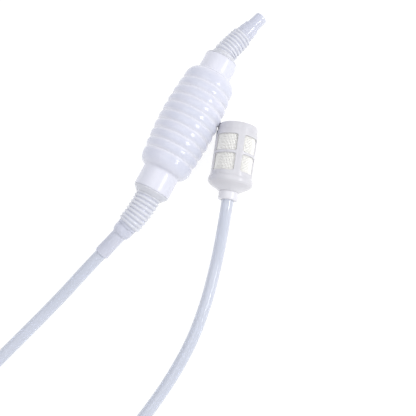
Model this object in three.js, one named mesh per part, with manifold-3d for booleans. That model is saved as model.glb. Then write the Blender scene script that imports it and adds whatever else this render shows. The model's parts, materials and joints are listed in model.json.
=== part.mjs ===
// A hand-pumped siphon for tanks: a corrugated squeeze bulb with a one-way valve in each neck,
// a flexible corrugated neck at both ends, one clear hose and a mesh strainer on the hose's far end.
// Millimetres, +Z up, everything lying on the floor at z = 0. The pump lies along +Y with its outlet
// ahead, and the origin is on the floor under the middle of the pump.

import * as THREE from 'three';
import { mergeVertices } from 'three/addons/utils/BufferGeometryUtils.js';
import Module from 'manifold-3d';

// Driving dimensions

const fit = 0.3; // gap kept between pieces that touch
const degree = Math.PI / 180;

const bulb = {
  middleY: 8,
  radius: 24.45, // crest of the fattest fold
  endRadius: 21.75, // crest of the first and last fold
  wall: 1.2,
  folds: 10,
  foldPitch: 8.3,
  foldDepth: 1.6,
  shoulderEnd: 46.5, // from the middle to where the necks begin
  neckWall: 1.6,
};
const axisHeight = bulb.radius;

// The two ends of the pump, measured outwards from the bulb's middle
const inlet = {
  neckRadius: 15.3,
  lip: 65, // end of the bulb's neck
  plugTip: 69.5, // end of the plug in it
  tipRadius: 11.6,
  flexLength: 30.5,
  flexFirstRadius: 11.1,
  flexLastRadius: 10.1,
  bendLength: 30.5, // how much of the flexible neck is bent
  yaw: 17 * degree,
  drop: 9 * degree,
};
const outlet = {
  neckRadius: 14.4,
  lip: 62.3,
  plugTip: 67,
  tipRadius: 10.8,
  flexLength: 26,
  flexFirstRadius: 10.3,
  flexLastRadius: 9.4,
  bendLength: 6,
  yaw: 17 * degree,
  drop: 0,
};

const plug = {
  start: 48,
  wall: 1.4,
  collarLength: 0.9,
  collarInset: 0.3, // how much less than the neck's radius
  boreWall: 2.6,
  endWall: 3,
};
const flex = { ribs: 9, ribDepth: 1.2, wall: 1.0 };

const valve = {
  inletAt: 64.5, // from the bulb's middle to the seat's outer face
  outletAt: 49.5,
  lift: 3,
  seatThickness: 2,
  portRadius: 4.5,
  discRadius: 7,
  discThickness: 1.2,
  cageThickness: 2,
  stemRadius: 1.2,
};

const hose = { radius: 5, sides: 10 };
const coil = { centre: [-18.2, -342.5], radius: 55, turnsWide: 2, turnsHigh: 2 };

const strainer = {
  centre: [47.09, 1.06],
  yaw: 18.6 * degree,
  cageRadius: 17.5,
  cageWall: 1.25,
  cageStart: -22.5,
  cageEnd: 20,
  windowRows: [[-14.8, -0.4], [1.8, 16]],
  ribWidth: 5.6,
  ribTurn: 13 * degree, // from the top towards +X to the nearest rib
  flangeRadius: 18.7,
  cupBore: 4,
  meshThickness: 0.4,
  capRadius: 16.9,
  capRounding: 5.5,
  capFace: 27.2,
  capWall: 2.4,
  spigotStart: 17.5,
  spigotRadius: 15,
  spigotWall: 1.3,
  collarRadius: 8.2,
  collarRounding: 1.8,
  collarStart: -37.3,
  collarEnd: -30.5,
};

// The hose's free stretches, from the pump's socket to the coil and from the coil to the strainer

const routeFromPump = [
  [-12.9, -119.4, 17.5],
  [-17.0, -132.7, 15.2],
  [-21.4, -147.2, 12.2],
  [-26.1, -162.9, 8.9],
  [-31.0, -178.6, 6.6],
  [-35.8, -194.1, 5.5],
  [-40.6, -209.4, 5.1],
  [-47.1, -230.6, 5.1],
  [-54.5, -255.1, 5.1],
  [-62.4, -282.1, 5.1],
  [-69.6, -305.6, 5.1],
];
const routeToStrainer = [
  [44.9, -346.5, 14.6],
  [53.4, -324.6, 11.0],
  [61.1, -301.1, 6.9],
  [67.4, -276.6, 5.3],
  [72.4, -251.6, 5.1],
  [76.4, -229.6, 5.1],
  [79.0, -216.0, 5.1],
  [81.1, -203.6, 5.1],
  [82.8, -191.1, 5.1],
  [84.0, -178.5, 5.1],
  [84.7, -165.8, 5.1],
  [84.8, -152.9, 5.1],
  [84.1, -140.0, 5.1],
  [82.6, -127.1, 5.1],
  [80.6, -114.2, 5.2],
  [78.0, -101.3, 5.5],
  [75.0, -88.4, 6.5],
  [71.7, -75.7, 8.5],
  [68.1, -63.2, 11.5],
  [64.3, -50.8, 15.2],
  [60.9, -40.1, 18.1],
  [59.12, -34.67, 18.7],
];

// Materials

function plastic(color, roughness) {
  return new THREE.MeshStandardMaterial({ color, roughness, metalness: 0 });
}

const milkyPlastic = plastic(0xe4e5f2, 0.4);
const clearPlastic = plastic(0xd5d8e6, 0.3);
const hosePlastic = plastic(0xcdd3e4, 0.25);
const strainerPlastic = plastic(0xd6d6dc, 0.3);
const nylonMesh = plastic(0xe4e5de, 0.7);
const softRubber = plastic(0xdedad0, 0.8);

// Shape helpers

const wasm = await Module();
wasm.setup();

function toSolid(geometry) {
  const bare = geometry.clone();
  bare.deleteAttribute('normal');
  bare.deleteAttribute('uv');
  const welded = mergeVertices(bare, 1e-4);
  return new wasm.Manifold(new wasm.Mesh({
    numProp: 3,
    vertProperties: new Float32Array(welded.getAttribute('position').array),
    triVerts: new Uint32Array(welded.index.array),
  }));
}

function cut(geometry, cutters) {
  let solid = toSolid(geometry);
  for (const cutter of cutters) {
    solid = solid.subtract(toSolid(cutter));
  }
  const mesh = solid.getMesh();
  const result = new THREE.BufferGeometry();
  result.setAttribute('position', new THREE.BufferAttribute(new Float32Array(mesh.vertProperties), 3));
  result.setIndex(new THREE.BufferAttribute(new Uint32Array(mesh.triVerts), 1));
  return result;
}

// Turns a closed outline of [radius, along] points round the Y axis. An outline that touches the
// axis is left open there.
function revolve(outline, segments) {
  const points = outline.map(([radius, along]) => new THREE.Vector2(radius, along));
  if (points[0].x > 0) {
    points.push(points[0].clone());
  }
  return new THREE.LatheGeometry(points, segments);
}

function quarterRound(centreRadius, centreAlong, radiusAcross, radiusAlong, fromTurn, toTurn, steps) {
  const points = [];
  for (let i = 0; i <= steps; i += 1) {
    const turn = fromTurn + (toTurn - fromTurn) * i / steps;
    points.push([
      centreRadius + radiusAcross * Math.cos(turn),
      centreAlong + radiusAlong * Math.sin(turn),
    ]);
  }
  return points;
}

function piece(name, geometry, material) {
  const mesh = new THREE.Mesh(geometry, material);
  mesh.name = name;
  return mesh;
}

// Bulb: a barrel of rounded folds between two necks

const foldSpan = (bulb.folds - 1) * bulb.foldPitch / 2; // from the middle to the last crest

function crestRadius(y) {
  return bulb.radius - (bulb.radius - bulb.endRadius) * (y / foldSpan) ** 2;
}

// The folds between the first and the last crest, inset by a wall thickness
function foldedWall(inset, stepsPerFold) {
  const points = [];
  const count = (bulb.folds - 1) * stepsPerFold;
  for (let i = 0; i <= count; i += 1) {
    const y = -foldSpan + 2 * foldSpan * i / count;
    const fromCrest = (i % stepsPerFold) / stepsPerFold; // 0 at a crest, 0.5 in a valley
    const dip = (1 - Math.abs(2 * fromCrest - 1)) ** 3;
    points.push([crestRadius(y) - inset - bulb.foldDepth * dip, y]);
  }
  return points;
}

function bulbOutline() {
  const { shoulderEnd, neckWall, endRadius, wall } = bulb;
  const rounding = 1;
  const steps = 4;
  const shoulder = shoulderEnd - foldSpan;
  const side = (neckRadius, inset) => quarterRound(
    neckRadius - inset, foldSpan, endRadius - neckRadius, shoulder - inset, 0, Math.PI / 2, steps,
  );
  const mirrored = (points) => points.map(([radius, y]) => [radius, -y]).reverse();
  return [
    [inlet.neckRadius - neckWall, -inlet.lip],
    [inlet.neckRadius - rounding, -inlet.lip],
    [inlet.neckRadius, -inlet.lip + rounding],
    ...mirrored(side(inlet.neckRadius, 0)).slice(0, -1),
    ...foldedWall(0, 4),
    ...side(outlet.neckRadius, 0).slice(1),
    [outlet.neckRadius, outlet.lip - rounding],
    [outlet.neckRadius - rounding, outlet.lip],
    [outlet.neckRadius - neckWall, outlet.lip],
    [outlet.neckRadius - neckWall, shoulderEnd - wall],
    ...foldedWall(wall, 2).reverse(),
    [inlet.neckRadius - neckWall, -shoulderEnd + wall],
  ];
}

function makeBulb() {
  const group = new THREE.Group();
  group.position.set(0, bulb.middleY, axisHeight);
  group.add(piece('bellows_bulb', revolve(bulbOutline(), 24), milkyPlastic));
  return group;
}

// One-way valve: seat, disc with its stem, and the spoked cage that guides the stem.
// The flow runs along +Y, so the disc lifts off its seat towards +Y.

function makeSeat(radius) {
  const { seatThickness, portRadius } = valve;
  const chamfer = 0.6;
  return revolve([
    [portRadius, 0],
    [radius, 0],
    [radius, seatThickness],
    [portRadius + chamfer, seatThickness],
    [portRadius, seatThickness - chamfer],
  ], 20);
}

function makeDisc() {
  const { discRadius, discThickness, stemRadius } = valve;
  const rimThickness = 0.7;
  const stemEnd = 9;
  const stemTaper = 0.4;
  return revolve([
    [0, 0],
    [discRadius, 0],
    [discRadius, rimThickness],
    [stemRadius, discThickness],
    [stemRadius, stemEnd - stemTaper],
    [stemRadius - stemTaper, stemEnd],
    [0, stemEnd],
  ], 16);
}

function makeValveCage(radius) {
  const { stemRadius } = valve;
  const rim = 1.8;
  const hubRadius = 3;
  const spokeTurn = 9 * degree;
  const windows = 4;
  const outline = new THREE.Shape();
  outline.absarc(0, 0, radius, 0, 2 * Math.PI, false);
  const guide = new THREE.Path();
  guide.absarc(0, 0, stemRadius + fit, 0, 2 * Math.PI, true);
  outline.holes.push(guide);
  for (let i = 0; i < windows; i += 1) {
    const from = i * 2 * Math.PI / windows + spokeTurn;
    const to = (i + 1) * 2 * Math.PI / windows - spokeTurn;
    const opening = new THREE.Path();
    opening.absarc(0, 0, radius - rim, from, to, false);
    opening.absarc(0, 0, hubRadius, to, from, true);
    outline.holes.push(opening);
  }
  const geometry = new THREE.ExtrudeGeometry(outline, {
    depth: valve.cageThickness,
    bevelEnabled: false,
    curveSegments: 8,
  });
  return geometry.rotateX(-Math.PI / 2);
}

function makeValve(name, radius, y) {
  const discAt = valve.seatThickness + fit;
  const cageAt = discAt + valve.discThickness + valve.lift + 2 * fit;
  const group = new THREE.Group();
  group.position.set(0, y, axisHeight);
  const seat = piece(`${name}_valve_seat`, makeSeat(radius), clearPlastic);
  const disc = piece(`${name}_valve_disc`, makeDisc(), softRubber);
  const cage = piece(`${name}_valve_cage`, makeValveCage(radius), clearPlastic);
  disc.position.y = discAt;
  cage.position.y = cageAt;
  group.add(seat, disc, cage);
  return group;
}

// Neck fittings, built pointing along +Y from the bulb's middle

function plugRadius(end) {
  return end.neckRadius - bulb.neckWall - fit;
}

function makePlug(end) {
  const outer = plugRadius(end);
  const inner = outer - plug.wall;
  const collar = end.neckRadius - plug.collarInset;
  const bore = end.tipRadius - plug.boreWall;
  const seatY = end.lip + fit;
  const floorY = end.plugTip - plug.endWall;
  return revolve([
    [inner, plug.start],
    [outer, plug.start],
    [outer, seatY],
    [collar, seatY],
    [collar, seatY + plug.collarLength],
    [end.tipRadius, end.plugTip],
    [bore, end.plugTip],
    [bore, floorY],
    [inner, floorY],
  ], 24);
}

// The direction that a bent neck ends in, and the side that it bends towards
function bendOf(end) {
  const direction = new THREE.Vector3(
    Math.sin(end.yaw) * Math.cos(end.drop),
    Math.cos(end.yaw) * Math.cos(end.drop),
    -Math.sin(end.drop),
  );
  const side = new THREE.Vector3(direction.x, 0, direction.z).normalize();
  return { direction, side, turn: Math.acos(direction.y) };
}

// Where a point of the straight neck goes once the neck is bent
function bent(point, end) {
  const { side, turn } = bendOf(end);
  const radius = end.bendLength / turn;
  const turned = turn * Math.min(point.y / end.bendLength, 1);
  const beyond = Math.max(0, point.y - end.bendLength);
  const towards = point.dot(side);
  const result = point.clone().addScaledVector(side, -towards);
  result.y = (radius - towards) * Math.sin(turned) + beyond * Math.cos(turned);
  const shift = radius - (radius - towards) * Math.cos(turned) + beyond * Math.sin(turned);
  return result.addScaledVector(side, shift);
}

function makeFlex(end) {
  const outline = [];
  const { ribs, ribDepth, wall } = flex;
  const { flexLength, flexFirstRadius, flexLastRadius } = end;
  const pitch = flexLength / ribs;
  const crestAt = (y) => THREE.MathUtils.lerp(flexFirstRadius, flexLastRadius, y / flexLength);
  for (let i = 0; i < ribs; i += 1) {
    for (const [share, dip] of [[0, 1], [0.3, 0], [0.7, 0]]) {
      const y = (i + share) * pitch;
      outline.push([crestAt(y) - ribDepth * dip, y]);
    }
  }
  outline.push([flexLastRadius - ribDepth, flexLength]);
  const innerSteps = 6;
  for (let i = innerSteps; i >= 0; i -= 1) {
    const y = flexLength * i / innerSteps;
    outline.push([crestAt(y) - ribDepth - wall, y]);
  }
  const geometry = revolve(outline, 16);
  const position = geometry.getAttribute('position');
  const point = new THREE.Vector3();
  for (let i = 0; i < position.count; i += 1) {
    point.fromBufferAttribute(position, i);
    const moved = bent(point, end);
    position.setXYZ(i, moved.x, moved.y, moved.z);
  }
  return geometry;
}

function makeSocket() {
  const bore = 4.2;
  const sleeveBore = hose.radius + fit;
  return revolve([
    [bore, 0],
    [8.1, 0],
    [8.1, 4.6],
    [7.5, 7.4],
    [6.4, 8.4],
    [6.1, 9.2],
    [6.1, 20.0],
    [6.3, 29.6],
    [6.0, 30.2],
    [sleeveBore, 30.2],
    [sleeveBore, 14],
    [bore, 13],
  ], 20);
}

function makeNozzle() {
  const bore = 4.4;
  return revolve([
    [bore, 0],
    [7.7, 0],
    [7.6, 4.2],
    [7.1, 4.7],
    [7.0, 8.6],
    [5.8, 9.3],
    [5.5, 21.3],
    [bore, 21.3],
  ], 20);
}

// A plug, the flexible neck on it and the fitting that the neck carries
function makeNeck(name, end, tipName, tipGeometry, turnAbout) {
  const group = new THREE.Group();
  group.position.set(0, bulb.middleY, axisHeight);
  group.rotation.z = turnAbout;
  const flexStart = end.plugTip + fit;
  const neck = piece(`${name}_flex_neck`, makeFlex(end), clearPlastic);
  neck.position.y = flexStart;
  const tip = piece(tipName, tipGeometry, clearPlastic);
  tip.position.copy(bent(new THREE.Vector3(0, end.flexLength + fit, 0), end));
  tip.position.y += flexStart;
  tip.quaternion.setFromUnitVectors(new THREE.Vector3(0, 1, 0), bendOf(end).direction);
  group.add(piece(`${name}_neck_plug`, makePlug(end), clearPlastic), neck, tip);
  return group;
}

function makePump() {
  const group = new THREE.Group();
  const inletValveAt = bulb.middleY - valve.inletAt;
  const outletValveAt = bulb.middleY + valve.outletAt;
  group.add(
    makeBulb(),
    makeNeck('inlet', inlet, 'inlet_hose_socket', makeSocket(), Math.PI),
    makeNeck('outlet', outlet, 'outlet_nozzle', makeNozzle(), 0),
    makeValve('inlet', plugRadius(inlet) - plug.wall - fit, inletValveAt),
    makeValve('outlet', plugRadius(outlet) - plug.wall - fit, outletValveAt),
  );
  return group;
}

// Hose: two free tubes that meet a ring, the outer shape of the coil between them

function makeTube(route, steps) {
  const section = new THREE.Shape();
  for (let i = 0; i < hose.sides; i += 1) {
    const turn = i * 2 * Math.PI / hose.sides;
    const x = hose.radius * Math.cos(turn);
    const y = hose.radius * Math.sin(turn);
    if (i === 0) {
      section.moveTo(x, y);
    } else {
      section.lineTo(x, y);
    }
  }
  section.closePath();
  const path = new THREE.CatmullRomCurve3(route.map((point) => new THREE.Vector3(...point)));
  return new THREE.ExtrudeGeometry(section, { steps, bevelEnabled: false, extrudePath: path });
}

function coilOutline(gap) {
  const halfWidth = coil.turnsWide * hose.radius;
  const height = coil.turnsHigh * 2 * hose.radius;
  const corner = hose.radius;
  const quarter = Math.PI / 2;
  const inside = coil.radius - halfWidth + corner;
  const outside = coil.radius + halfWidth - corner;
  const round = (radius, along, from) => quarterRound(
    radius, along, corner + gap, corner + gap, from, from + quarter, 3,
  );
  return [
    ...round(outside, corner, -quarter),
    ...round(outside, height - corner, 0),
    ...round(inside, height - corner, quarter),
    ...round(inside, corner, 2 * quarter),
  ];
}

function makeCoil(gap) {
  return revolve(coilOutline(gap), 36)
    .rotateX(Math.PI / 2)
    .translate(coil.centre[0], coil.centre[1], 0);
}

function makeHose() {
  const group = new THREE.Group();
  const fromPump = cut(makeTube(routeFromPump, 10), [makeCoil(fit)]);
  const toStrainer = cut(makeTube(routeToStrainer, 18), [makeCoil(fit)]);
  group.add(
    piece('hose_from_pump', fromPump, hosePlastic),
    piece('hose_coil', makeCoil(0), hosePlastic),
    piece('hose_to_strainer', toStrainer, hosePlastic),
  );
  return group;
}

// Strainer, built along +Y from its middle ring, closed end ahead

function makeWindowCutter(centreTurn, from, to) {
  const halfTurn = Math.PI / 4 - strainer.ribWidth / strainer.cageRadius / 2;
  const shape = new THREE.Shape();
  shape.absarc(0, 0, strainer.cageRadius + 2, centreTurn - halfTurn, centreTurn + halfTurn, false);
  shape.absarc(0, 0, strainer.cageRadius - 3, centreTurn + halfTurn, centreTurn - halfTurn, true);
  shape.closePath();
  const geometry = new THREE.ExtrudeGeometry(shape, {
    depth: to - from,
    bevelEnabled: false,
    curveSegments: 6,
  });
  return geometry.rotateX(-Math.PI / 2).translate(0, from, 0);
}

function makeCage() {
  const { cageRadius, cageWall, cageStart, cageEnd, windowRows, ribTurn } = strainer;
  const tube = revolve([
    [cageRadius - cageWall, cageStart],
    [cageRadius, cageStart],
    [cageRadius, cageEnd],
    [cageRadius - cageWall, cageEnd],
  ], 28);
  const cutters = [];
  for (const [from, to] of windowRows) {
    for (let i = 0; i < 4; i += 1) {
      const centreTurn = ribTurn - Math.PI / 4 + i * Math.PI / 2;
      cutters.push(makeWindowCutter(centreTurn, from, to));
    }
  }
  return cut(tube, cutters);
}

// The base: a cup that holds the cage and closes to a narrow foot under the hose's collar
function makeBase() {
  const { cageRadius, flangeRadius, cupBore } = strainer;
  const inner = cageRadius + fit;
  return revolve([
    [cupBore, -30.2],
    [8.4, -30.2],
    [9.3, -29.6],
    [15.7, -25.9],
    [17.8, -24.4],
    [flangeRadius, -22.9],
    [flangeRadius, -20.4],
    [18.3, -18.7],
    [inner, -18.7],
    [inner, -22.8],
    [15.2, -23.8],
    [7.0, -27.4],
    [cupBore, -27.4],
  ], 28);
}

function makeCollar() {
  const { collarRadius, collarRounding, collarStart, collarEnd } = strainer;
  const inner = hose.radius + fit;
  const quarter = Math.PI / 2;
  const round = (along, from) => quarterRound(
    collarRadius - collarRounding, along, collarRounding, collarRounding, from, from + quarter, 3,
  );
  return revolve([
    [inner, collarStart],
    ...round(collarStart + collarRounding, -quarter),
    ...round(collarEnd - collarRounding, 0),
    [inner, collarEnd],
  ], 20);
}

// The barb inside the collar, which the hose is pushed over
function makeBarb() {
  const bore = 2.7;
  return revolve([
    [bore, -36.6],
    [3.2, -36.6],
    [3.7, -35.2],
    [3.3, -34.4],
    [3.7, -33.0],
    [3.5, -31.8],
    [3.5, -27.1],
    [5.6, -27.1],
    [5.6, -25.9],
    [bore, -25.9],
  ], 16);
}

function makeMeshSleeve() {
  const { cageRadius, cageWall, cageStart, cageEnd, meshThickness } = strainer;
  const outer = cageRadius - cageWall - fit;
  const inner = outer - meshThickness;
  return revolve([
    [inner, cageStart + fit],
    [outer, cageStart + fit],
    [outer, cageEnd - fit],
    [inner, cageEnd - fit],
  ], 28);
}

function makeEndCap() {
  const { cageEnd, capRadius, capRounding, capFace, capWall } = strainer;
  const { spigotStart, spigotRadius, spigotWall } = strainer;
  const rounding = quarterRound(
    capRadius - capRounding, capFace - capRounding, capRounding, capRounding, 0, Math.PI / 2, 4,
  );
  return revolve([
    [0, capFace - capWall],
    [spigotRadius - spigotWall, capFace - capWall],
    [spigotRadius - spigotWall, spigotStart],
    [spigotRadius, spigotStart],
    [spigotRadius, cageEnd + fit],
    [capRadius, cageEnd + fit],
    ...rounding,
    [0, capFace],
  ], 28);
}

function makeStrainer() {
  const group = new THREE.Group();
  group.position.set(strainer.centre[0], strainer.centre[1], strainer.flangeRadius);
  group.rotation.z = strainer.yaw;
  group.add(
    piece('strainer_base', makeBase(), strainerPlastic),
    piece('strainer_hose_collar', makeCollar(), strainerPlastic),
    piece('strainer_hose_barb', makeBarb(), strainerPlastic),
    piece('strainer_cage', makeCage(), strainerPlastic),
    piece('strainer_mesh_sleeve', makeMeshSleeve(), nylonMesh),
    piece('strainer_end_cap', makeEndCap(), strainerPlastic),
  );
  return group;
}

const group = new THREE.Group();
group.add(makePump(), makeHose(), makeStrainer());

export default group;
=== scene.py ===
import json
import math

import bmesh
import bpy
from mathutils import Matrix, Vector


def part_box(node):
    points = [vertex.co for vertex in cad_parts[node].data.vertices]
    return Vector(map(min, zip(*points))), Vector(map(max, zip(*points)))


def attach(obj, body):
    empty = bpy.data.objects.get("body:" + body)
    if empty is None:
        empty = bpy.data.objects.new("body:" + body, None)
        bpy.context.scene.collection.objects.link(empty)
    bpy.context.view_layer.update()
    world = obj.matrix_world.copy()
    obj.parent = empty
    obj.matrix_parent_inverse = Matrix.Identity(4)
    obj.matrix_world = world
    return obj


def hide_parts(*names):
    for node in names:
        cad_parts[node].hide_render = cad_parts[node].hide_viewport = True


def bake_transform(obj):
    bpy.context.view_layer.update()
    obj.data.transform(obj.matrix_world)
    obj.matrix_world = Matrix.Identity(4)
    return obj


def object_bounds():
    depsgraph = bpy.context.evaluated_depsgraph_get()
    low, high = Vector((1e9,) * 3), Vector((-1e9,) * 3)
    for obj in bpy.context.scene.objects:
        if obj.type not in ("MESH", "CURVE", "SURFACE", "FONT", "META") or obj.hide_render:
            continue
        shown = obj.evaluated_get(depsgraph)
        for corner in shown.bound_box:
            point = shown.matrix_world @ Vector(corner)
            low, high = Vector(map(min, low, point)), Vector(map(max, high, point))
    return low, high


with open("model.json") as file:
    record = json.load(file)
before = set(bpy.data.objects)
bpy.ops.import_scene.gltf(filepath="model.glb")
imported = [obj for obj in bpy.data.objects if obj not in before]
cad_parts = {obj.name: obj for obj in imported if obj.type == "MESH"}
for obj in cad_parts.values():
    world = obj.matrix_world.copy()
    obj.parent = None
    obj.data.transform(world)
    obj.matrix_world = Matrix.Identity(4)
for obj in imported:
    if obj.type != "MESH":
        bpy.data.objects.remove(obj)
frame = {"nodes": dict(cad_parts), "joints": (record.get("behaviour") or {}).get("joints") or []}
cad_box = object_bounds()

MM = 0.001
TAU = 2 * math.pi

# ---------------------------------------------------------------- places taken from the frame

JOINTS = {joint["name"]: joint for joint in frame["joints"]}

bulb_low, bulb_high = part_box("bellows_bulb")
AXIS_Z = (bulb_low.z + bulb_high.z) / 2 / MM
INLET_LIP = 65.0  # from the bulb's middle to the end of its inlet neck, in mm
OUTLET_LIP = 62.3
MIDDLE_Y = bulb_low.y / MM + INLET_LIP

# The two ends of the pump, measured outwards from the bulb's middle, in mm and degrees
INLET = {
    "neck_radius": 15.3,
    "lip": INLET_LIP,
    "groove": (),
    "plug_tip": 69.5,
    "tip_radius": 11.6,
    "root_radius": 8.1,
    "flex_length": 30.5,
    "flex_radii": (11.1, 10.1),
    "bend_length": 30.5,
    "yaw": 17.0,
    "drop": 9.0,
    "ribs": 9,
}
OUTLET = {
    "neck_radius": 14.4,
    "lip": OUTLET_LIP,
    "groove": ((0.9, 0.2), (-0.7, 0.6), (-0.7, 1.0), (0.0, 1.8)),
    "plug_tip": 67.0,
    "tip_radius": 10.8,
    "root_radius": 7.7,
    "flex_length": 26.0,
    "flex_radii": (10.3, 9.4),
    "bend_length": 6.0,
    "yaw": 17.0,
    "drop": 0.0,
    "ribs": 8,
}
HOSE_RADIUS = 5.0
HOSE_BORE = 3.8  # the bore's radius
CLEARANCE = 0.3  # between pieces that touch

# ---------------------------------------------------------------- camera

CAMERA_TARGET = Vector((46.0, -44.4, 0.0)) * MM
CAMERA_AZIMUTH = math.radians(27.1)
CAMERA_ELEVATION = math.radians(80.2)
CAMERA_DISTANCE = 565.0 * MM
CAMERA_LENS = 57.1  # with a sensor 36 mm wide


def make_camera():
    """The camera, at the photo's angle."""
    data = bpy.data.cameras.new("camera")
    data.sensor_width = 36.0
    data.lens = CAMERA_LENS
    camera = bpy.data.objects.new("camera", data)
    bpy.context.scene.collection.objects.link(camera)
    across = math.cos(CAMERA_ELEVATION)
    back = Vector((
        math.sin(CAMERA_AZIMUTH) * across,
        -math.cos(CAMERA_AZIMUTH) * across,
        math.sin(CAMERA_ELEVATION),
    ))
    camera.location = CAMERA_TARGET + back * CAMERA_DISTANCE
    camera.rotation_mode = "QUATERNION"
    camera.rotation_quaternion = (-back).to_track_quat("-Z", "Y")
    bpy.context.scene.camera = camera


make_camera()

# ---------------------------------------------------------------- mesh helpers


def link_mesh(name, vertices, faces, uvs=None):
    """A smooth-shaded mesh object. Vertices are in mm, uvs one pair for each vertex."""
    mesh = bpy.data.meshes.new(name)
    mesh.from_pydata([tuple(Vector(v) * MM) for v in vertices], [], faces)
    if uvs:
        layer = mesh.uv_layers.new(name="UVMap")
        for loop in mesh.loops:
            layer.data[loop.index].uv = uvs[loop.vertex_index]
    mesh.polygons.foreach_set("use_smooth", [True] * len(mesh.polygons))
    mesh.validate()
    obj = bpy.data.objects.new(name, mesh)
    bpy.context.scene.collection.objects.link(obj)
    return obj


def rounded(outline, closed=True, steps=4):
    """Rounds an outline's corners. Its points are (radius, along, fillet), and the result's are
    (radius, along)."""
    result = []
    count = len(outline)
    for i, (radius, along, fillet) in enumerate(outline):
        corner = Vector((radius, along))
        if fillet <= 0 or (not closed and i in (0, count - 1)):
            result.append(tuple(corner))
            continue
        before = Vector(outline[i - 1][:2]) - corner
        after = Vector(outline[(i + 1) % count][:2]) - corner
        half = before.angle(after) / 2
        reach = min(fillet / math.tan(half), before.length * 0.48, after.length * 0.48)
        start = corner + before.normalized() * reach
        end = corner + after.normalized() * reach
        for step in range(steps + 1):
            t = step / steps
            a = start.lerp(corner, t)
            b = corner.lerp(end, t)
            result.append(tuple(a.lerp(b, t)))
    return result


def ring_angles(segments, seam_angles=()):
    """Angles round an axis, with extra ones close to each seam, where a fine ridge may stand."""
    angles = [TAU * i / segments for i in range(segments)]
    for seam in seam_angles:
        for offset in (-1.6, -0.8, 0.8, 1.6):
            angles.append((seam + math.radians(offset)) % TAU)
    return sorted(angles)


def revolve(name, outline, segments=96, closed=True, shape=None, seams=()):
    """Turns (radius, along) points round the Y axis. Angle 0 is up and a quarter turn is +X.
    An open outline starts and ends on the axis. shape(point, angle) may move each point."""
    angles = ring_angles(segments, seams)
    vertices, uvs, rows = [], [], []
    length = 0.0
    for i, (radius, along) in enumerate(outline):
        if i:
            length += math.hypot(radius - outline[i - 1][0], along - outline[i - 1][1])
        if radius < 1e-6:
            vertices.append(Vector((0, along, 0)))
            uvs.append((0, length * MM))
            rows.append([len(vertices) - 1] * len(angles))
            continue
        row = []
        for angle in angles:
            point = Vector((radius * math.sin(angle), along, radius * math.cos(angle)))
            row.append(len(vertices))
            vertices.append(shape(point, angle) if shape else point)
            uvs.append((angle / TAU, length * MM))
        rows.append(row)
    faces = []
    for i in range(len(rows) if closed else len(rows) - 1):
        low, high = rows[i], rows[(i + 1) % len(rows)]
        for k in range(len(angles)):
            following = (k + 1) % len(angles)
            corners = [low[k], low[following], high[following], high[k]]
            faces.append(list(dict.fromkeys(corners)))
    obj = link_mesh(name, vertices, faces, uvs)
    fix_normals(obj)
    return obj


def fix_normals(obj):
    """Turns every face of a closed mesh outwards."""
    work = bmesh.new()
    work.from_mesh(obj.data)
    bmesh.ops.recalc_face_normals(work, faces=work.faces)
    work.to_mesh(obj.data)
    work.free()


def move(obj, matrix):
    """Puts a piece in its place. matrix is in mm; the place goes into the mesh."""
    placed = matrix.copy()
    placed.translation = matrix.translation * MM
    obj.data.transform(placed)
    return obj


def along_axis(origin, direction):
    """The frame whose +Y runs along direction, with +Z as near to up as it can be."""
    forward = Vector(direction).normalized()
    side = forward.cross(Vector((0, 0, 1))).normalized()
    upward = side.cross(forward)
    matrix = Matrix((side, forward, upward)).transposed().to_4x4()
    matrix.translation = Vector(origin)
    return matrix


def finish_piece(obj, body, slot, material, *nodes):
    """Gives a piece its material, hides the CAD nodes it replaces and hangs it on the body it rides
    on. slot is not used.
    """
    obj.data.materials.append(material)
    if nodes:
        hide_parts(*nodes)
    if body:
        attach(obj, body)
    return obj


# ---------------------------------------------------------------- materials


def srgb(red, green, blue):
    """A linear colour from 0 to 255 screen values."""
    def linear(value):
        share = value / 255
        return share / 12.92 if share <= 0.04045 else ((share + 0.055) / 1.055) ** 2.4
    return (linear(red), linear(green), linear(blue), 1.0)


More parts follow.
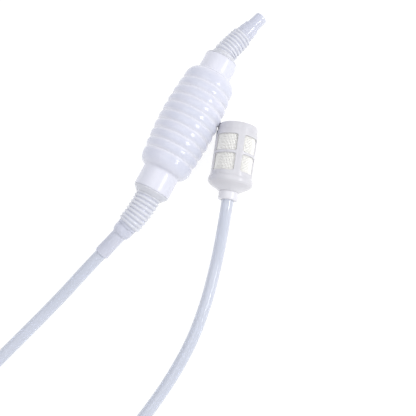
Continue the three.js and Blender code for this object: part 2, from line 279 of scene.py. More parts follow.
class Shader:
    """A Principled material, with helpers for the procedural detail that every plastic here has."""

    def __init__(self, name, roughness, **sockets):
        self.material = bpy.data.materials.new(name)
        self.material.use_nodes = True
        self.nodes = self.material.node_tree.nodes
        self.links = self.material.node_tree.links
        self.bsdf = self.nodes["Principled BSDF"]
        self.bsdf.inputs["Roughness"].default_value = roughness
        for socket, value in sockets.items():
            self.bsdf.inputs[socket.replace("_", " ")].default_value = value
        self.height = None

    def node(self, kind, **settings):
        made = self.nodes.new(kind)
        for key, value in settings.items():
            setattr(made, key, value)
        return made

    def coordinates(self, source="Object", scale=(1, 1, 1)):
        texture = self.node("ShaderNodeTexCoord")
        mapping = self.node("ShaderNodeMapping")
        mapping.inputs["Scale"].default_value = scale
        self.links.new(texture.outputs[source], mapping.inputs["Vector"])
        return mapping.outputs["Vector"]

    def noise(self, scale, detail=3.0, source="Object", stretch=(1, 1, 1)):
        made = self.node("ShaderNodeTexNoise")
        made.inputs["Scale"].default_value = scale
        made.inputs["Detail"].default_value = detail
        self.links.new(self.coordinates(source, stretch), made.inputs["Vector"])
        return made.outputs["Fac"]

    def ramp(self, value, stops):
        made = self.node("ShaderNodeValToRGB")
        elements = made.color_ramp.elements
        while len(elements) < len(stops):
            elements.new(0.5)
        for element, (position, colour) in zip(elements, stops):
            element.position = position
            element.color = colour
        self.links.new(value, made.inputs["Fac"])
        return made.outputs["Color"]

    def colour(self, value, stops):
        self.links.new(self.ramp(value, stops), self.bsdf.inputs["Base Color"])

    def attribute(self, name):
        return self.node("ShaderNodeAttribute", attribute_name=name).outputs["Fac"]

    def mix_colour(self, share, first, second):
        made = self.node("ShaderNodeMix", data_type="RGBA")
        self.links.new(share, made.inputs["Factor"])
        self.links.new(first, made.inputs[6])
        self.links.new(second, made.inputs[7])
        self.links.new(made.outputs[2], self.bsdf.inputs["Base Color"])

    def roughness(self, value, low, high):
        made = self.node("ShaderNodeMapRange")
        made.inputs["To Min"].default_value = low
        made.inputs["To Max"].default_value = high
        self.links.new(value, made.inputs["Value"])
        self.links.new(made.outputs["Result"], self.bsdf.inputs["Roughness"])

    def bump(self, value, distance, strength=1.0):
        made = self.node("ShaderNodeBump")
        made.inputs["Distance"].default_value = distance
        made.inputs["Strength"].default_value = strength
        self.links.new(value, made.inputs["Height"])
        if self.height:
            self.links.new(self.height, made.inputs["Normal"])
        self.height = made.outputs["Normal"]
        self.links.new(self.height, self.bsdf.inputs["Normal"])


def milky_plastic():
    """Blow-moulded soft polyethylene. Painted light: a lighter copy of its colour is mixed in by the
    stored "thickness" mask, so the valleys of the folds are painted lighter against the shade that
    falls in them, and the crests keep the plain, bluer colour."""
    shader = Shader(
        "milky_plastic",
        0.22,
        Subsurface_Weight=0.3,
        Subsurface_Radius=(1.0, 1.0, 1.0),
        Subsurface_Scale=1.2 * MM,
        IOR=1.5,
    )
    # thin is the plain colour; thick is its lighter copy, painted light where the "thickness" mask is
    # high: the fold valleys, and at 0.7 the shoulders and necks
    thin = shader.ramp(
        shader.noise(42, 3), [(0.3, srgb(213, 216, 229)), (0.7, srgb(220, 221, 233))],
    )
    thick = shader.ramp(
        shader.noise(42, 3), [(0.3, srgb(226, 227, 236)), (0.7, srgb(232, 232, 240))],
    )
    shader.mix_colour(shader.attribute("thickness"), thin, thick)
    shader.roughness(shader.attribute("thickness"), 0.15, 0.3)
    shader.bump(shader.noise(75, 2), 0.00015, 0.5)
    shader.bump(shader.noise(900, 3), 0.00002, 0.5)
    return shader.material


def moulded_plastic(name, thin, thick, transmission, roughness):
    """Translucent moulded plastic, slightly uneven. thin and thick are pairs of screen colours, mixed
    by the stored "thickness" mask, which is painted light rather than a wall thickness: thick is the
    lighter colour, painted as a highlight; a piece that stores none is thin all over."""
    shader = Shader(
        name,
        roughness,
        Transmission_Weight=transmission,
        Subsurface_Weight=0.15,
        Subsurface_Radius=(1.0, 1.0, 1.0),
        Subsurface_Scale=1.5 * MM,
        IOR=1.46,
    )
    # the thin ramp is the plain colour, the thick ramp its lighter copy painted as light
    base_colour, painted_light_colour = (
        shader.ramp(shader.noise(60, 3), [(0.3, srgb(*pair[0])), (0.7, srgb(*pair[1]))])
        for pair in (thin, thick)
    )
    shader.mix_colour(shader.attribute("thickness"), base_colour, painted_light_colour)
    shader.roughness(shader.noise(220, 4), roughness * 0.8, roughness * 1.2)
    shader.bump(shader.noise(90, 2), 0.00006, 0.5)
    shader.bump(shader.noise(1100, 3), 0.00001, 0.5)
    return shader.material


def hose_plastic():
    """Extruded clear PVC: faint draw lines run along it."""
    shader = Shader(
        "hose_plastic",
        0.16,
        Transmission_Weight=0.3,
        IOR=1.5,
    )
    streaks = shader.noise(1, 3, source="UV", stretch=(26, 9, 1))
    shader.colour(streaks, [(0.3, srgb(230, 235, 247)), (0.7, srgb(234, 238, 249))])
    shader.roughness(shader.noise(180, 3), 0.08, 0.14)
    shader.bump(shader.noise(1, 2, source="UV", stretch=(60, 2, 1)), 0.00002, 0.35)
    return shader.material


def woven_nylon():
    """The strainer's near-white thread, with a faint sheen."""
    shader = Shader("woven_nylon", 0.55, Sheen_Weight=0.2, IOR=1.5)
    shader.colour(shader.noise(90, 3), [(0.3, srgb(253, 252, 247)), (0.7, srgb(255, 254, 250))])
    shader.bump(shader.noise(1400, 3), 0.00003, 0.6)
    return shader.material


def soft_silicone():
    """The soft rubber of the valve discs."""
    shader = Shader("soft_silicone", 0.5, Subsurface_Weight=0.2, Subsurface_Scale=1.5 * MM)
    shader.colour(shader.noise(120, 3), [(0.3, srgb(214, 210, 200)), (0.7, srgb(226, 223, 214))])
    shader.bump(shader.noise(700, 3), 0.00004, 0.6)
    return shader.material


def tie_plastic():
    """The plastic of a garden twist tie."""
    shader = Shader("tie_plastic", 0.42)
    shader.colour(shader.noise(150, 3), [(0.3, srgb(206, 209, 214)), (0.7, srgb(222, 224, 228))])
    shader.bump(shader.noise(800, 3), 0.00004, 0.6)
    return shader.material


MILKY = milky_plastic()
# In each material thin is the plain colour and thick its lighter copy, painted light where a piece
# stores a "thickness" mask: rib crests of the corrugated necks, the strainer's hub; the plugs and
# valves store none
NECK = moulded_plastic(
    "neck_plastic",
    thin=((231, 233, 241), (238, 239, 245)),
    thick=((238, 239, 245), (244, 244, 248)),
    transmission=0.2,
    roughness=0.24,
)
CLEAR = moulded_plastic(
    "clear_plastic",
    thin=((220, 223, 237), (228, 230, 242)),
    thick=((236, 238, 246), (242, 243, 249)),
    transmission=0.2,
    roughness=0.12,
)
STRAINER = moulded_plastic(
    "strainer_plastic",
    thin=((224, 223, 228), (232, 231, 235)),
    thick=((240, 239, 244), (245, 244, 248)),
    transmission=0.15,
    roughness=0.2,
)
HOSE = hose_plastic()
NYLON = woven_nylon()
SILICONE = soft_silicone()
TIE = tie_plastic()

# ---------------------------------------------------------------- hose

# The free stretches, in mm, and the coil of spare hose between them
ROUTE_FROM_PUMP = [
    (-12.9, -119.4, 17.5),
    (-17.0, -132.7, 15.2),
    (-21.4, -147.2, 12.2),
    (-26.1, -162.9, 8.9),
    (-31.0, -178.6, 6.6),
    (-35.8, -194.1, 5.5),
    (-40.6, -209.4, 5.1),
    (-47.1, -230.6, 5.1),
    (-54.5, -255.1, 5.1),
    (-62.4, -282.1, 5.1),
    (-69.6, -305.6, 5.1),
]
ROUTE_TO_STRAINER = [
    (44.9, -346.5, 14.6),
    (53.4, -324.6, 11.0),
    (61.1, -301.1, 6.9),
    (67.4, -276.6, 5.3),
    (72.4, -251.6, 5.1),
    (76.4, -229.6, 5.1),
    (79.0, -216.0, 5.1),
    (81.1, -203.6, 5.1),
    (82.8, -191.1, 5.1),
    (84.0, -178.5, 5.1),
    (84.7, -165.8, 5.1),
    (84.8, -152.9, 5.1),
    (84.1, -140.0, 5.1),
    (82.6, -127.1, 5.1),
    (80.6, -114.2, 5.2),
    (78.0, -101.3, 5.5),
    (75.0, -88.4, 6.5),
    (71.7, -75.7, 8.5),
    (68.1, -63.2, 11.5),
    (64.3, -50.8, 15.2),
    (60.9, -40.1, 18.1),
    (59.12, -34.67, 18.7),
]
COIL_START = 162.8  # degrees round the coil's middle, where the hose joins it
COIL_TURN = 1255  # degrees wound, to where the hose leaves it
COIL_INWARD = (265, 355)  # degrees wound while the hose moves in to the inner turn
COIL_RISE = (610, 670)  # while it climbs on top
COIL_OUTWARD = (900, 990)  # and while it moves out again
COIL_STEP = 7.5  # degrees between the coil's points
COIL_LIFT = 0.05  # keeps the smoothed coil from dipping below the floor
HOSE_STEP = 2.6  # mm between the sections of the hose
SLEEVE_DEPTH = 14.0  # how far the hose goes on past its route, into the pump's socket
COLLAR_DEPTH = 6.0  # and into the strainer's collar at its other end


def smooth_step(value, low, high):
    """Goes smoothly from 0 at low to 1 at high."""
    t = min(1.0, max(0.0, (value - low) / (high - low)))
    return t * t * (3 - 2 * t)


def coil_points():
    """The middle line of the spare hose: about three and a half turns, two wide and two high."""
    low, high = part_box("hose_coil")
    middle = (low + high) / 2 / MM
    outer_turn = (high.x - low.x) / 2 / MM - HOSE_RADIUS
    points = []
    count = int(COIL_TURN / COIL_STEP)
    for i in range(count + 1):
        wound = COIL_TURN * i / count
        inward = smooth_step(wound, *COIL_INWARD) - smooth_step(wound, *COIL_OUTWARD)
        radius = outer_turn - 2 * HOSE_RADIUS * inward
        height = HOSE_RADIUS + COIL_LIFT + 2 * HOSE_RADIUS * smooth_step(wound, *COIL_RISE)
        turn = math.radians(COIL_START + wound)
        points.append((
            middle.x + radius * math.cos(turn),
            middle.y + radius * math.sin(turn),
            height,
        ))
    return points


def extended(point, toward, distance):
    """A point further out along the line from toward to point."""
    step = (Vector(point) - Vector(toward)).normalized() * distance
    return tuple(Vector(point) + step)


def centripetal(points, spacing):
    """A Catmull-Rom curve through the points, with a point about every spacing mm."""
    points = [Vector(p) for p in points]
    knots = [points[0] * 2 - points[1], *points, points[-1] * 2 - points[-2]]
    curve = []
    for i in range(1, len(knots) - 2):
        p = knots[i - 1:i + 3]
        t = [0.0]
        for a, b in zip(p, p[1:]):
            t.append(t[-1] + math.sqrt((b - a).length))
        steps = max(1, round((p[2] - p[1]).length / spacing))
        for step in range(steps):
            u = t[1] + (t[2] - t[1]) * step / steps
            a1 = p[0].lerp(p[1], (u - t[0]) / (t[1] - t[0]))
            a2 = p[1].lerp(p[2], (u - t[1]) / (t[2] - t[1]))
            a3 = p[2].lerp(p[3], (u - t[2]) / (t[3] - t[2]))
            b1 = a1.lerp(a2, (u - t[0]) / (t[2] - t[0]))
            b2 = a2.lerp(a3, (u - t[1]) / (t[3] - t[1]))
            curve.append(b1.lerp(b2, (u - t[1]) / (t[2] - t[1])))
    curve.append(points[-1])
    return curve


def make_tube(name, path, outer, inner, sides=24, inner_sides=24):
    """A hollow tube along a path, closed by a ring at each end."""
    vertices, uvs, rows = [], [], []
    travelled = 0.0
    up = Vector((0, 0, 1))
    for i, point in enumerate(path):
        ahead = path[min(i + 1, len(path) - 1)] - path[max(i - 1, 0)]
        forward = ahead.normalized()
        side = forward.cross(up).normalized()
        upward = side.cross(forward)
        if i:
            travelled += (point - path[i - 1]).length
        row = []
        for radius, count in ((outer, sides), (inner, inner_sides)):
            ring = []
            for k in range(count):
                turn = TAU * k / count - math.pi / 2
                ring.append(len(vertices))
                vertices.append(point + radius * (side * math.cos(turn) + upward * math.sin(turn)))
                uvs.append((k / count, travelled * MM))
            row.append(ring)
        rows.append(row)
    faces = []
    for low, high in zip(rows, rows[1:]):
        for wall in range(2):
            count = len(low[wall])
            for k in range(count):
                n = (k + 1) % count
                faces.append([low[wall][k], low[wall][n], high[wall][n], high[wall][k]])
    for row in (rows[0], rows[-1]):
        for k in range(sides):
            n = (k + 1) % sides
            faces.append([row[0][k], row[0][n], row[1][n], row[1][k]])
    obj = link_mesh(name, vertices, faces, uvs)
    fix_normals(obj)
    return obj


def make_tie(name):
    """A flat strip wound once round the coil's section. A wire core stands proud along its middle.
    It is a closed loop, with no twisted ends."""
    low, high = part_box("hose_coil")
    middle = (low + high) / 2 / MM
    reach = (high.x - low.x) / 2 / MM - 2 * HOSE_RADIUS
    half = 2 * HOSE_RADIUS - 0.55  # to the strip's middle, so that it squeezes the hose a little
    thickness, width, corner = 0.7, 5.0, 4.0
    profile = (  # across the strip and outwards, as shares of half its width and of its thickness
        (-1, -0.5),
        (1, -0.5),
        (1, 0.5),
        (0.16, 0.5),
        (0, 0.95),
        (-0.16, 0.5),
        (-1, 0.5),
    )
    section = []
    for k in range(4):
        for step in range(7):
            turn = math.radians(90 * k + 15 * step)
            centre = Vector((
                (half - corner) * (1 if k in (0, 3) else -1),
                (half - corner) * (1 if k in (0, 1) else -1),
            ))
            section.append(centre + corner * Vector((math.cos(turn), math.sin(turn))))
    work = bmesh.new()
    loops = []
    for i, point in enumerate(section):
        before, after = section[i - 1], section[(i + 1) % len(section)]
        along = (after - before).normalized()
        out = Vector((along.y, -along.x))
        loop = []
        for across, lift in profile:
            place = point + out * lift * thickness
            height = half + 0.7 + place.y
            loop.append(work.verts.new((reach + place.x, across * width / 2, height)))
        loops.append(loop)
    for i, loop in enumerate(loops):
        following = loops[(i + 1) % len(loops)]
        for k in range(len(loop)):
            n = (k + 1) % len(loop)
            work.faces.new((loop[k], loop[n], following[n], following[k]))
    mesh = bpy.data.meshes.new(name)
    bmesh.ops.scale(work, vec=(MM, MM, MM), verts=work.verts)
    bmesh.ops.recalc_face_normals(work, faces=work.faces)
    work.to_mesh(mesh)
    work.free()
    obj = bpy.data.objects.new(name, mesh)
    bpy.context.scene.collection.objects.link(obj)
    turned = Matrix.Rotation(math.radians(250), 4, "Z")
    turned.translation = Vector((middle.x, middle.y, 0))
    return move(obj, turned)


hose_controls = [
    extended(ROUTE_FROM_PUMP[0], ROUTE_FROM_PUMP[1], SLEEVE_DEPTH),
    *ROUTE_FROM_PUMP,
    *coil_points(),
    *ROUTE_TO_STRAINER,
    extended(ROUTE_TO_STRAINER[-1], ROUTE_TO_STRAINER[-2], COLLAR_DEPTH),
]
hose_path = centripetal(hose_controls, HOSE_STEP)
hose = make_tube("clear_hose", hose_path, HOSE_RADIUS, HOSE_BORE)
finish_piece(
    hose, "hose_side", "hose_plastic", HOSE, "hose_from_pump", "hose_coil", "hose_to_strainer",
)
hose_tie = finish_piece(make_tie("hose_coil_tie"), "hose_side", "neck_plastic", TIE)

# ---------------------------------------------------------------- bulb

BULB_RADIUS = 24.45
BULB_END_RADIUS = 21.75
BULB_WALL = 1.2
FOLDS = 10
FOLD_PITCH = 8.3
FOLD_DEPTH = 1.6
FOLD_SPAN = (FOLDS - 1) * FOLD_PITCH / 2
SHOULDER_END = 46.5
NECK_WALL = 1.6
RIDGE_HEIGHT = 0.16
RIDGE_HALF_WIDTH = math.radians(0.9)
RIDGE_FROM_RADIUS = 13.9  # keeps the ridge off the bores of the necks


def crest_radius(y):
    """The bulb is fattest in its middle."""
    return BULB_RADIUS - (BULB_RADIUS - BULB_END_RADIUS) * (y / FOLD_SPAN) ** 2


def folded_wall(inset, steps):
    """The folds between the first and the last crest: broad round bands with tight valleys."""
    points = []
    count = (FOLDS - 1) * steps
    for i in range(count + 1):
        y = -FOLD_SPAN + 2 * FOLD_SPAN * i / count
        from_valley = abs(2 * ((i % steps) / steps) - 1)
        softened = math.sqrt(from_valley ** 2 + 0.05 ** 2)
        dip = max(0.0, 1 - softened) ** 2.6
        points.append((crest_radius(y) - inset - FOLD_DEPTH * dip, y))
    return points


def shoulder(neck_radius, side, steps=14):
    """From the last crest round to the neck, with a small fillet."""
    rise = SHOULDER_END - FOLD_SPAN
    points = []
    for i in range(1, steps - 1):
        turn = math.pi / 2 * i / steps
        radius = neck_radius + (BULB_END_RADIUS - neck_radius) * math.cos(turn)
        points.append((radius, side * (FOLD_SPAN + rise * math.sin(turn))))
    for out, along in ((0.65, 0.25), (0.2, 0.9), (0, 1.8)):
        points.append((neck_radius + out, side * (SHOULDER_END + along)))
    return points


def mould_ridge(point, angle):
    """The mould's parting line stands a little proud along both sides."""
    from_seam = abs(math.cos(angle))
    ridge = RIDGE_HEIGHT * math.exp(-((from_seam / math.sin(RIDGE_HALF_WIDTH)) ** 2))
    radial = Vector((point.x, 0, point.z))
    if radial.length < RIDGE_FROM_RADIUS:
        return point
    return point + radial.normalized() * ridge


def lip(end, side, fillet=0.8):
    """The rounded rim of a neck, from its end face to its outside."""
    return [
        (
            end["neck_radius"] - fillet * (1 - math.sin(turn)),
            side * (end["lip"] - fillet * (1 - math.cos(turn))),
        )
        for turn in (0, 0.4, 0.8, 1.2, math.pi / 2)
    ]


def store_painted_light(obj, values):
    """Keeps one value a vertex in the "thickness" attribute, which the plastics mix their thin (plain)
    and thick (painted lighter) colours by: a painted-light mask, not a wall thickness.
    """
    layer = obj.data.attributes.new("thickness", "FLOAT", "POINT")
    layer.data.foreach_set("value", values)


def paint_fold_light(obj):
    """Stores a painted-light mask, as "thickness": 0 on the crests of the folds, 1 in the valleys,
    which are painted lighter against the shade that falls in them, and 0.7 from the shoulders to the
    ends of the necks. The wall itself is even."""
    values = []
    for vertex in obj.data.vertices:
        y = vertex.co.y / MM - MIDDLE_Y
        along = abs(y)
        past_folds = smooth_step(along, FOLD_SPAN + 1, SHOULDER_END + 1)
        phase = ((y + FOLD_SPAN) / FOLD_PITCH) % 1
        valley = smooth_step(1 - abs(2 * phase - 1), 0.35, 0.95) if along < FOLD_SPAN else 0.0
        values.append(max(past_folds * 0.7, valley))
    store_painted_light(obj, values)


def make_bulb():
    """The bulb's outer wall, from the inlet's lip to the outlet's, and its inner wall back again."""
    outer = [
        *lip(INLET, -1),
        *[(INLET["neck_radius"], -INLET_LIP + 3 * k) for k in range(1, 6)],
        *reversed(shoulder(INLET["neck_radius"], -1)),
        *folded_wall(0, 20),
        *shoulder(OUTLET["neck_radius"], 1),
        *[(OUTLET["neck_radius"], SHOULDER_END + 3 * k) for k in range(1, 5)],
        *reversed(lip(OUTLET, 1)),
    ]
    inner = [
        (OUTLET["neck_radius"] - NECK_WALL, OUTLET_LIP),
        *reversed([(OUTLET["neck_radius"] - NECK_WALL, SHOULDER_END + 4 * k) for k in range(0, 4)]),
        *reversed(folded_wall(BULB_WALL, 8)),
        *[(INLET["neck_radius"] - NECK_WALL, -SHOULDER_END - 4 * k) for k in range(0, 4)],
        (INLET["neck_radius"] - NECK_WALL, -INLET_LIP),
    ]
    return revolve(
        "bellows_bulb_shell", outer + inner, 120, shape=mould_ridge,
        seams=(math.pi / 2, 3 * math.pi / 2),
    )


PUMP_FRAME = Matrix.Translation(Vector((0, MIDDLE_Y, AXIS_Z)))
INLET_FRAME = PUMP_FRAME @ Matrix.Rotation(math.pi, 4, "Z")

bulb = move(make_bulb(), PUMP_FRAME)
# Painted light: the bulb's fold valleys, and partly its shoulders and necks, get the lighter colour
paint_fold_light(bulb)
finish_piece(bulb, None, "bulb_plastic", MILKY, "bellows_bulb")
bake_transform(bulb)

# ---------------------------------------------------------------- neck fittings


def make_plug(name, end):
    """The plug in the bulb's neck, out to its tip. The inlet's tapers, and the outlet's is grooved."""
    outer = end["neck_radius"] - NECK_WALL - CLEARANCE
    inner = outer - 1.4
    seat = end["lip"] + 0.05
    bore = end["tip_radius"] - 2.6
    tip = end["plug_tip"]
    face = seat + 0.9
    outline = [
        (inner, 48.0, 0.3),
        (outer, 48.0, 0.4),
        (outer, seat, 0.1),
        (end["neck_radius"] - 0.3, seat, 0.25),
        (end["neck_radius"] - 0.3, face, 0.8),
        *[(end["tip_radius"] + out, face + along, 0.4) for out, along in end["groove"]],
        (end["tip_radius"], tip, 0.8),
        (bore, tip, 0.3),
        (bore, tip - 3.0, 0.3),
        (inner, tip - 3.0, 0.6),
    ]
    return revolve(name, rounded(outline), 96)


def bend_of(end):
    """The direction that a bent neck ends in, the side that it bends towards, and the angle."""
    yaw, drop = math.radians(end["yaw"]), math.radians(end["drop"])
    direction = Vector((
        math.sin(yaw) * math.cos(drop),
        math.cos(yaw) * math.cos(drop),
        -math.sin(drop),
    ))
    side = Vector((direction.x, 0, direction.z)).normalized()
    return direction, side, math.acos(direction.y)


def bent(point, end):
    """Where a point of the straight neck goes once the neck is bent."""
    _, side, turn = bend_of(end)
    radius = end["bend_length"] / turn
    turned = turn * min(point.y / end["bend_length"], 1)
    beyond = max(0, point.y - end["bend_length"])
    towards = point.dot(side)
    result = point - side * towards
    result.y = (radius - towards) * math.sin(turned) + beyond * math.cos(turned)
    shift = radius - (radius - towards) * math.cos(turned) + beyond * math.sin(turned)
    return result + side * shift


def make_flex(name, end):
    """A corrugated neck: round ribs with tight grooves, thinning towards the fitting."""
    length, ribs = end["flex_length"], end["ribs"]
    first, last = end["flex_radii"]
    depth, wall = 1.4, 0.8
    pitch = length / ribs
    steps = 14
    outer, inner = [], []
    for i in range(ribs * steps + 1):
        y = length * i / (ribs * steps)
        crest = first + (last - first) * y / length
        from_crest = abs(2 * ((i / steps + 0.5) % 1) - 1)
        dip = max(0.0, 1 - math.sqrt((1 - from_crest) ** 2 + 0.06 ** 2)) ** 2.2
        fade = 1 - 0.55 * smooth_step(y, length * 0.72, length)
        ending = (crest - end["root_radius"] - 0.2) * smooth_step(y, length - pitch * 1.2, length)
        outer.append((crest - depth * dip * fade - ending, y))
        inner.append((crest - depth - wall + 0.3 * (1 - dip) - ending * 0.6, y))
    start = outer[0][0]
    near, far = -CLEARANCE + 0.05, length + CLEARANCE - 0.05
    finish = outer[-1][0]
    rim = [(start - 0.4, near), (start, near)]
    profile = [*rim, *outer, (finish, far), (finish - 0.4, far), *reversed(inner)]
    neck = revolve(name, profile, 72)
    # Painted light, stored as "thickness": the rib crests take the lighter colour, a painted
    # highlight, and the grooves the darker one, painted shade
    values = []
    for vertex in neck.data.vertices:
        across, along = math.hypot(vertex.co.x, vertex.co.z) / MM, vertex.co.y / MM
        crest = first + (last - first) * along / length
        values.append(smooth_step(across, crest - depth, crest))
        vertex.co = bent(vertex.co / MM, end) * MM
    store_painted_light(neck, values)
    fix_normals(neck)
    return neck


def make_socket():
    """The clear socket that the hose is pushed into: a tapered root and a thin sleeve."""
    sleeve_bore = HOSE_RADIUS + 0.05
    outline = [
        (4.2, 0.0, 0.2),
        (8.1, 0.0, 0.6),
        (8.1, 4.6, 2.5),
        (7.5, 7.4, 1.0),
        (6.4, 8.5, 0.6),
        (6.1, 9.4, 0.6),
        (6.1, 22.0, 6.0),
        (6.3, 30.2, 0.35),
        (sleeve_bore, 30.2, 0.2),
        (sleeve_bore, 14.0, 0.2),
        (4.2, 13.6, 0.2),
    ]
    return revolve("hose_socket", rounded(outline), 72)


def make_nozzle():
    """The outlet nozzle: two steps down to a plain spigot."""
    outline = [
        (4.4, 0.0, 0.2),
        (7.7, 0.0, 0.5),
        (7.6, 4.2, 0.5),
        (7.1, 4.7, 0.3),
        (7.0, 8.6, 0.5),
        (5.8, 9.4, 0.4),
        (5.5, 21.3, 0.5),
        (4.4, 21.3, 0.25),
    ]
    return revolve("nozzle_spigot", rounded(outline), 72)


def make_neck(end, neck_frame, names, tip, bodies, nodes):
    """A plug, its corrugated neck and the fitting that the neck carries."""
    plug = move(make_plug(names[0], end), neck_frame)
    finish_piece(plug, bodies[0], "neck_plastic", NECK, nodes[0])
    flex_start = end["plug_tip"] + CLEARANCE
    flex_frame = neck_frame @ Matrix.Translation(Vector((0, flex_start, 0)))
    neck = move(make_flex(names[1], end), flex_frame)
    finish_piece(neck, None, "neck_plastic", CLEAR, nodes[1])
    tip_local = bent(Vector((0, end["flex_length"] + CLEARANCE, 0)), end)
    tip_frame = flex_frame @ along_axis(tip_local, bend_of(end)[0])
    finish_piece(move(tip, tip_frame), bodies[1], "neck_plastic", CLEAR, nodes[2])
    finish = flex_frame @ bent(Vector((0, end["flex_length"], 0)), end)
    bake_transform(neck)


make_neck(
    INLET, INLET_FRAME, ("inlet_plug", "inlet_corrugated_neck"), make_socket(),
    ("pump_inlet", "hose_side"),
    ("inlet_neck_plug", "inlet_flex_neck", "inlet_hose_socket"),
)
make_neck(
    OUTLET, PUMP_FRAME, ("outlet_plug", "outlet_corrugated_neck"), make_nozzle(),
    ("pump_outlet", "nozzle"),
    ("outlet_neck_plug", "outlet_flex_neck", "outlet_nozzle"),
)

# The valves keep their CAD shapes, inside the necks
for node, material in (
    ("inlet_valve_seat", NECK),
    ("inlet_valve_cage", NECK),
    ("inlet_valve_disc", SILICONE),
    ("outlet_valve_seat", NECK),
    ("outlet_valve_cage", NECK),
    ("outlet_valve_disc", SILICONE),
):
    valve = frame["nodes"][node]
    valve.data.materials.clear()
    valve.data.materials.append(material)

# ---------------------------------------------------------------- strainer

twist = JOINTS["strainer_cage_twist"]
STRAINER_FRAME = along_axis(Vector(twist["pos_m"]) / MM, twist["axis"])
CAGE_RADIUS = 17.5
CAGE_WALL = 1.25
CAGE_START, CAGE_END = -22.5, 20.0
FLANGE_RADIUS = 18.7
COLLAR_RADIUS = 8.2
CAP_RADIUS = 16.9
CAP_FACE = 27.2
RIB_WIDTH = 5.6
RIB_TURN = math.radians(13)  # from the top towards +X to the nearest rib
WINDOW_ROWS = ((-14.8, -0.4), (1.8, 16.0))
MIDDLE_RING = (WINDOW_ROWS[0][1] + WINDOW_ROWS[1][0]) / 2
WINDOW_CORNER = 1.6
PANEL_STEPS = 16  # points along each side of a window


def panel_points(low, high, count, corner):
    """A rectangle's outline with rounded corners, count points a side, starting at its low corner."""
    (x0, y0), (x1, y1) = low, high
    corners = [(x0, y0, math.pi), (x1, y0, 1.5 * math.pi), (x1, y1, 0.0), (x0, y1, 0.5 * math.pi)]
    arcs = 4 if corner else 0
    points = []
    for k, (x, y, start) in enumerate(corners):
        cx = x + (corner if k in (0, 3) else -corner)
        cy = y + (corner if k in (0, 1) else -corner)
        following = corners[(k + 1) % 4]
        side = []
        for step in range(count):
            share = step / count
            if corner and share < arcs / count:
                turn = start + math.pi / 4 + math.pi / 4 * step / arcs
                side.append((cx + corner * math.cos(turn), cy + corner * math.sin(turn)))
            elif corner and share > 1 - arcs / count:
                nx = following[0] + (corner if (k + 1) % 4 in (0, 3) else -corner)
                ny = following[1] + (corner if (k + 1) % 4 in (0, 1) else -corner)
                turn = following[2] + math.pi / 4 * (1 - (count - step) / arcs)
                side.append((nx + corner * math.cos(turn), ny + corner * math.sin(turn)))
            else:
                side.append((x + (following[0] - x) * share, y + (following[1] - y) * share))
        points.extend(side)
    return points


def make_cage():
    """The strainer's frame: two rows of four windows between ribs, wrapped round the axis."""
    work = bmesh.new()
    rib_half = RIB_WIDTH / CAGE_RADIUS / 2
    rows = [
        (CAGE_START, MIDDLE_RING, WINDOW_ROWS[0]),
        (MIDDLE_RING, CAGE_END, WINDOW_ROWS[1]),
    ]
    for low, high, (window_low, window_high) in rows:
        for k in range(4):
            left = RIB_TURN + k * math.pi / 2
            right = left + math.pi / 2
            outer = panel_points(
                (left * CAGE_RADIUS, low), (right * CAGE_RADIUS, high), PANEL_STEPS, 0,
            )
            inner = panel_points(
                ((left + rib_half) * CAGE_RADIUS, window_low),
                ((right - rib_half) * CAGE_RADIUS, window_high),
                PANEL_STEPS,
                WINDOW_CORNER,
            )
            rings = []
            for share in (0, 0.35, 0.7, 1):
                ring = []
                for (xo, yo), (xi, yi) in zip(outer, inner):
                    x, y = xo + (xi - xo) * share, yo + (yi - yo) * share
                    turn = x / CAGE_RADIUS
                    radius = CAGE_RADIUS * MM
                    ring.append(work.verts.new((
                        radius * math.sin(turn), y * MM, radius * math.cos(turn),
                    )))
                rings.append(ring)
            for a, b in zip(rings, rings[1:]):
                for i in range(len(a)):
                    n = (i + 1) % len(a)
                    work.faces.new((a[i], a[n], b[n], b[i]))
    bmesh.ops.remove_doubles(work, verts=work.verts, dist=0.02 * MM)
    bmesh.ops.recalc_face_normals(work, faces=work.faces)
    for face in work.faces:
        centre = face.calc_center_median()
        if face.normal.dot(Vector((centre.x, 0, centre.z))) < 0:
            face.normal_flip()
        face.smooth = True
    mesh = bpy.data.meshes.new("strainer_frame")
    work.to_mesh(mesh)
    work.free()
    obj = bpy.data.objects.new("strainer_frame", mesh)
    bpy.context.scene.collection.objects.link(obj)
    thick = obj.modifiers.new("wall", "SOLIDIFY")
    thick.thickness = CAGE_WALL * MM
    thick.offset = -1
    soften = obj.modifiers.new("edges", "BEVEL")
    soften.width = 0.3 * MM
    soften.segments = 2
    soften.limit_method = "ANGLE"
    soften.angle_limit = math.radians(50)
    soften.harden_normals = True
    apply_modifiers(obj)
    return obj


def apply_modifiers(obj):
    """Replaces an object's mesh with what its modifiers make of it."""
    graph = bpy.context.evaluated_depsgraph_get()
    mesh = bpy.data.meshes.new_from_object(obj.evaluated_get(graph))
    obj.modifiers.clear()
    obj.data = mesh


def make_base():
    """The strainer's end fitting: a cup for the cage, closing to the hose's collar."""
    inner = CAGE_RADIUS + 0.1
    outline = [
        (4.0, -30.2, 0.2),
        (8.4, -30.2, 0.4),
        (9.3, -29.6, 0.6),
        (15.7, -25.9, 2.5),
        (17.8, -24.4, 1.5),
        (FLANGE_RADIUS, -22.9, 1.2),
        (FLANGE_RADIUS, -20.4, 1.0),
        (18.3, -18.7, 0.3),
        (inner, -18.7, 0.15),
        (inner, -22.8, 0.2),
        (15.2, -23.8, 1.0),
        (7.0, -27.4, 1.0),
        (4.0, -27.4, 0.2),
    ]
    return paint_hub_light(revolve("strainer_cup", rounded(outline, steps=6), 96))


def paint_hub_light(obj):
    """Painted highlight: the plastic is painted lighter from the cup's slope in to the hose, stored as
    "thickness".
    """
    values = []
    for vertex in obj.data.vertices:
        across = math.hypot(vertex.co.x, vertex.co.z) / MM
        values.append(1 - smooth_step(across, 8.5, 15.5))
    store_painted_light(obj, values)
    return obj


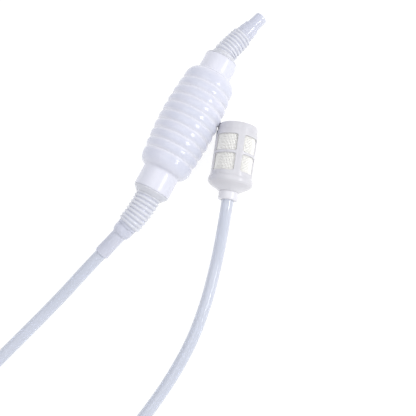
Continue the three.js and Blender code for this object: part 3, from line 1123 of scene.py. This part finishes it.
def make_collar():
    """The ring round the hose's end."""
    outline = [
        (HOSE_RADIUS + 0.1, -37.3, 0.4),
        (COLLAR_RADIUS, -37.3, 2.2),
        (COLLAR_RADIUS, -30.25, 0.5),
        (HOSE_RADIUS + 0.1, -30.25, 0.2),
    ]
    return paint_hub_light(revolve("hose_collar", rounded(outline, steps=8), 72))


def make_barb():
    """The spigot inside the hose's end, with two ridges that grip it."""
    outline = [
        (2.7, -36.6, 0.1),
        (3.1, -36.6, 0.1),
        (3.65, -35.2, 0.15),
        (3.3, -34.4, 0.15),
        (3.65, -33.0, 0.15),
        (3.45, -31.8, 0.15),
        (3.45, -27.1, 0.2),
        (5.6, -27.1, 0.3),
        (5.6, -25.9, 0.3),
        (2.7, -25.9, 0.3),
    ]
    return revolve("hose_barb", rounded(outline), 48)


def make_end_cap():
    """The closed end: a spigot that goes into the frame, and a rim rounded to a flat face."""
    spigot, wall, seat = 15.0, 1.3, CAGE_END + 0.03
    outline = [
        (0.0, CAP_FACE - 2.4, 0.0),
        (spigot - wall, CAP_FACE - 2.4, 0.6),
        (spigot - wall, 17.5, 0.2),
        (spigot, 17.5, 0.2),
        (spigot, seat, 0.2),
        (CAP_RADIUS, seat, 0.3),
        (CAP_RADIUS, CAP_FACE, 5.7),
        (8.0, CAP_FACE, 0.5),
        (0.0, CAP_FACE, 0.0),
    ]
    return revolve("strainer_cap", rounded(outline, closed=False, steps=8), 96, closed=False)


def make_mesh_sleeve():
    """Woven nylon: threads along the sleeve and round it, each passing over and under the others."""
    radius = CAGE_RADIUS - CAGE_WALL - 0.6
    low, high = CAGE_START + 0.3, CAGE_END - 0.4
    pitch, thread, weave = 1.3, 0.45, 0.14
    around = 2 * round(TAU * radius / pitch / 2)
    rows = 2 * round((high - low) / pitch / 2)
    vertices, faces = [], []

    def add_thread(points, closed):
        start = len(vertices)
        count = len(points)
        for i, (point, outward, across) in enumerate(points):
            for k in range(4):
                turn = math.pi / 2 * k
                vertices.append(
                    point + outward * thread * math.cos(turn) + across * thread * math.sin(turn)
                )
        for i in range(count if closed else count - 1):
            following = (i + 1) % count
            for k in range(4):
                n = (k + 1) % 4
                faces.append([
                    start + 4 * i + k, start + 4 * i + n,
                    start + 4 * following + n, start + 4 * following + k,
                ])
        if not closed:
            faces.append([start + k for k in range(4)])
            last = start + 4 * (count - 1)
            faces.append([last + k for k in (3, 2, 1, 0)])

    for i in range(around):
        turn = TAU * i / around
        outward = Vector((math.sin(turn), 0, math.cos(turn)))
        across = Vector((math.cos(turn), 0, -math.sin(turn)))
        points = []
        for j in range(2 * rows + 1):
            y = low + (high - low) * j / (2 * rows)
            over = math.sin(math.pi * (j / 2 + i))
            points.append((outward * (radius + weave * over) + Vector((0, y, 0)), outward, across))
        add_thread(points, False)
    for j in range(rows):
        y = low + (high - low) * (j + 0.5) / rows
        points = []
        for i in range(2 * around):
            turn = TAU * i / (2 * around)
            outward = Vector((math.sin(turn), 0, math.cos(turn)))
            over = math.cos(math.pi * (i / 2 + j + 1))
            points.append((
                outward * (radius + weave * over) + Vector((0, y, 0)),
                outward,
                Vector((0, 1, 0)),
            ))
        add_thread(points, True)
    return link_mesh("strainer_net", vertices, faces)


strainer_pieces = [
    finish_piece(move(obj, STRAINER_FRAME), body, slot, material, node)
    for obj, body, slot, material, node in (
        (make_base(), "hose_side", "strainer_plastic", STRAINER, "strainer_base"),
        (make_collar(), "hose_side", "strainer_plastic", STRAINER, "strainer_hose_collar"),
        (make_barb(), "hose_side", "strainer_plastic", STRAINER, "strainer_hose_barb"),
        (make_cage(), "strainer_basket", "strainer_plastic", STRAINER, "strainer_cage"),
        (make_mesh_sleeve(), "strainer_basket", "strainer_mesh", NYLON, "strainer_mesh_sleeve"),
        (make_end_cap(), "strainer_basket", "strainer_plastic", STRAINER, "strainer_end_cap"),
    )
]

# ---------------------------------------------------------------- floor and light


def make_floor():
    """A plain grey floor that also gives off light, so that it renders white."""
    low, high = cad_box
    middle = (low + high) / 2
    half = 3.0
    corners = ((-1, -1), (1, -1), (1, 1), (-1, 1))
    mesh = bpy.data.meshes.new("floor")
    mesh.from_pydata(
        [(middle.x + half * x, middle.y + half * y, 0) for x, y in corners],
        [],
        [(0, 1, 2, 3)],
    )
    floor = bpy.data.objects.new("floor", mesh)
    bpy.context.scene.collection.objects.link(floor)
    shader = Shader("floor_white", 0.9)
    shader.bsdf.inputs["Base Color"].default_value = (0.3, 0.3, 0.3, 1)
    shader.bsdf.inputs["Specular IOR Level"].default_value = 0.0
    shader.bsdf.inputs["Emission Color"].default_value = (1, 1, 1, 1)
    shader.bsdf.inputs["Emission Strength"].default_value = 0.8
    mesh.materials.append(shader.material)


def area_light(name, shape, direction, distance, width, length, power):
    """A light aimed at the origin, under the pump. Its length runs as near to Y as it can."""
    data = bpy.data.lights.new(name, "AREA")
    data.shape = shape
    data.size = width
    data.size_y = length
    data.energy = power
    light = bpy.data.objects.new(name, data)
    bpy.context.scene.collection.objects.link(light)
    toward = Vector(direction).normalized()
    across = Vector((0, 1, 0)).cross(toward).normalized()
    along = toward.cross(across)
    light.matrix_world = Matrix((across, along, toward)).transposed().to_4x4()
    light.location = toward * distance


def make_light():
    """A soft studio: an even world, a square softbox above and an oval light from the side."""
    world = bpy.data.worlds.new("studio")
    world.use_nodes = True
    background = world.node_tree.nodes["Background"]
    background.inputs["Color"].default_value = (0.935, 0.945, 0.985, 1)
    background.inputs["Strength"].default_value = 0.7
    bpy.context.scene.world = world
    area_light("softbox", "RECTANGLE", (-0.15, 0.1, 0.98), 1.4, 1.2, 1.2, 4.4)
    area_light("side", "ELLIPSE", (0.72, 0.24, 0.65), 1.5, 0.4, 0.8, 8.0)
    bpy.context.scene.view_settings.view_transform = "Standard"


make_floor()
make_light()
